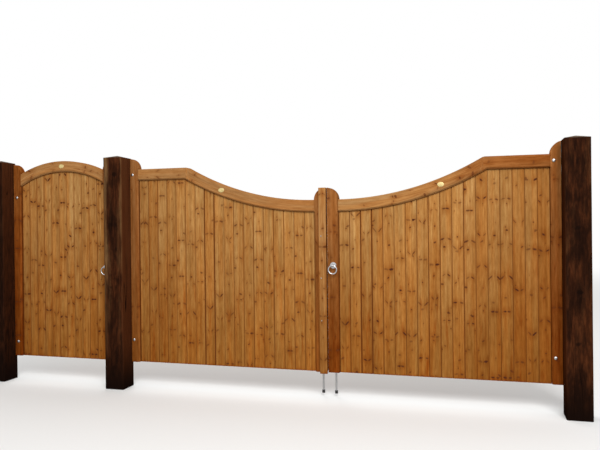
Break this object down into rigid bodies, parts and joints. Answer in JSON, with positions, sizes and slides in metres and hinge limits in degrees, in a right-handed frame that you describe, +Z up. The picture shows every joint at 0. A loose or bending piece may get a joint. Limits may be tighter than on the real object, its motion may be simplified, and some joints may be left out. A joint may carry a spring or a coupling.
{
  "type": "timber driveway gateway with side gate",
  "caption": "Pair of boarded swan-neck driveway gates and an arched side gate on square timber posts, with band hinges, ring latches and drop bolts.",
  "frame": {"origin": "centre of the middle post's flat foot, at ground level", "axes": "+Z up; +X along the gateway to the right as seen from the road; +Y from the road into the drive, the way the gates open"},
  "size_m": [5.19, 0.289, 2.058],
  "materials": {
    "post_timber": "dark brown stained rough-sawn softwood",
    "framing": "golden brown stained planed softwood",
    "boarding": "golden brown stained knotty softwood boards",
    "galvanised": "zinc plated, dull",
    "brass": "pale satin brass"
  },
  "bodies": {
    "posts": {"left_post": "post_timber", "middle_post": "post_timber", "right_post": "post_timber", "left_post_hooks": "galvanised", "middle_post_hooks": "galvanised", "right_post_hooks": "galvanised", "middle_post_keep": "galvanised"},
    "left_leaf": {"left_leaf_hanging_stile": "framing", "left_leaf_meeting_stile": "framing", "left_leaf_top_rail": "framing", "left_leaf_boarding": "boarding", "left_leaf_ledges": "framing", "left_leaf_braces": "framing", "left_leaf_bands": "galvanised", "left_leaf_plaque": "brass", "left_leaf_bolt_guide": "galvanised", "cover_strip": "framing", "left_leaf_keep": "galvanised"},
    "right_leaf": {"right_leaf_hanging_stile": "framing", "right_leaf_meeting_stile": "framing", "right_leaf_top_rail": "framing", "right_leaf_boarding": "boarding", "right_leaf_ledges": "framing", "right_leaf_braces": "framing", "right_leaf_bands": "galvanised", "right_leaf_plaque": "brass", "right_leaf_bolt_guide": "galvanised", "right_leaf_rose": "galvanised"},
    "side_gate": {"side_gate_hanging_stile": "framing", "side_gate_closing_stile": "framing", "side_gate_arched_rail": "framing", "side_gate_boarding": "boarding", "side_gate_ledges": "framing", "side_gate_braces": "framing", "side_gate_bands": "galvanised", "side_gate_plaque": "brass", "side_gate_rose": "galvanised"},
    "left_drop_bolt": {"left_leaf_drop_bolt": "galvanised"},
    "right_drop_bolt": {"right_leaf_drop_bolt": "galvanised"},
    "right_latch": {"right_leaf_spindle": "galvanised", "right_leaf_latch_bar": "galvanised"},
    "right_ring": {"right_leaf_ring": "galvanised"},
    "side_latch": {"side_gate_spindle": "galvanised", "side_gate_latch_bar": "galvanised"},
    "side_ring": {"side_gate_ring": "galvanised"}
  },
  "joints": [
    {"name": "left_leaf_swing", "type": "hinge", "parent": "posts", "child": "left_leaf", "pos_m": [0.0675, 0.116, 0], "axis": [0, 0, 1], "range_deg": [0, 95]},
    {"name": "right_leaf_swing", "type": "hinge", "parent": "posts", "child": "right_leaf", "pos_m": [3.7075, 0.116, 0], "axis": [0, 0, -1], "range_deg": [0, 95]},
    {"name": "side_gate_swing", "type": "hinge", "parent": "posts", "child": "side_gate", "pos_m": [-1.1725, 0.116, 0], "axis": [0, 0, 1], "range_deg": [0, 95]},
    {"name": "right_latch_turn", "type": "hinge", "parent": "right_leaf", "child": "right_latch", "pos_m": [1.9445, 0.0545, 1.094], "axis": [0, 1, 0], "range_deg": [0, 30]},
    {"name": "right_ring_lift", "type": "hinge", "parent": "right_latch", "child": "right_ring", "pos_m": [1.9445, 0.0235, 1.094], "axis": [-1, 0, 0], "range_deg": [0, 75]},
    {"name": "side_latch_turn", "type": "hinge", "parent": "side_gate", "child": "side_latch", "pos_m": [-0.1575, 0.0545, 1.065], "axis": [0, -1, 0], "range_deg": [0, 30]},
    {"name": "side_ring_lift", "type": "hinge", "parent": "side_latch", "child": "side_ring", "pos_m": [-0.1575, 0.0235, 1.065], "axis": [-1, 0, 0], "range_deg": [0, 75]},
    {"name": "left_bolt_lift", "type": "slide", "parent": "left_leaf", "child": "left_drop_bolt", "axis": [0, 0, 1], "range_m": [0, 0.12]},
    {"name": "right_bolt_lift", "type": "slide", "parent": "right_leaf", "child": "right_drop_bolt", "axis": [0, 0, 1], "range_m": [0, 0.12]}
  ]
}
